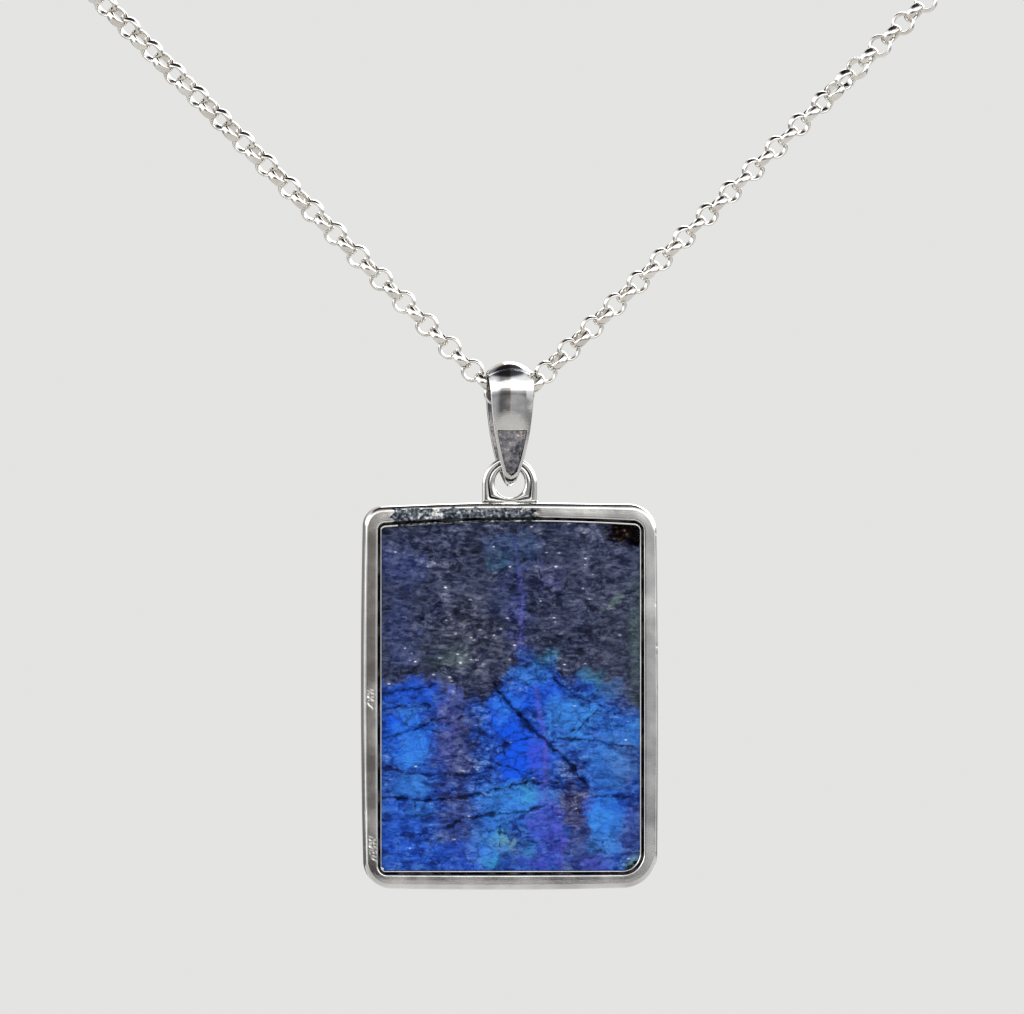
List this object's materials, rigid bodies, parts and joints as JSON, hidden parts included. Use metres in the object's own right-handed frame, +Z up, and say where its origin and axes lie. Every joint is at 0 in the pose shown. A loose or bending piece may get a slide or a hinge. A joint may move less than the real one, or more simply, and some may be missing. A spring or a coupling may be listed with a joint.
{
  "type": "labradorite slab pendant",
  "caption": "Rough labradorite slab in an open-backed silver bezel frame, hung by a soldered loop and a tapered bail on a fine belcher chain.",
  "frame": {"origin": "centre of the chain where it carries the bail", "axes": "+Z up along the hanging pendant, -Y towards the rough back face, +X to the right seen from the back"},
  "size_m": [0.0823, 0.0049, 0.0821],
  "materials": {
    "silver": "polished sterling silver with fine handling marks",
    "stone": "rough cleaved labradorite with a blue flash"
  },
  "bodies": {
    "chain": {"chain_left": "silver", "chain_middle": "silver", "chain_right": "silver", "end_ring_left": "silver", "end_ring_right": "silver"},
    "bail": {"bail": "silver"},
    "pendant": {"bezel_frame": "silver", "labradorite_slab": "stone", "hanging_loop": "silver"}
  },
  "joints": [
    {"name": "bail_swing", "type": "hinge", "parent": "chain", "child": "bail", "pos_m": [0, 0, 0], "axis": [1, 0, 0], "range_deg": [-35, 35]},
    {"name": "pendant_swing", "type": "hinge", "parent": "bail", "child": "pendant", "pos_m": [0, 0, -0.0067], "axis": [1, 0, 0], "range_deg": [-35, 35]}
  ]
}
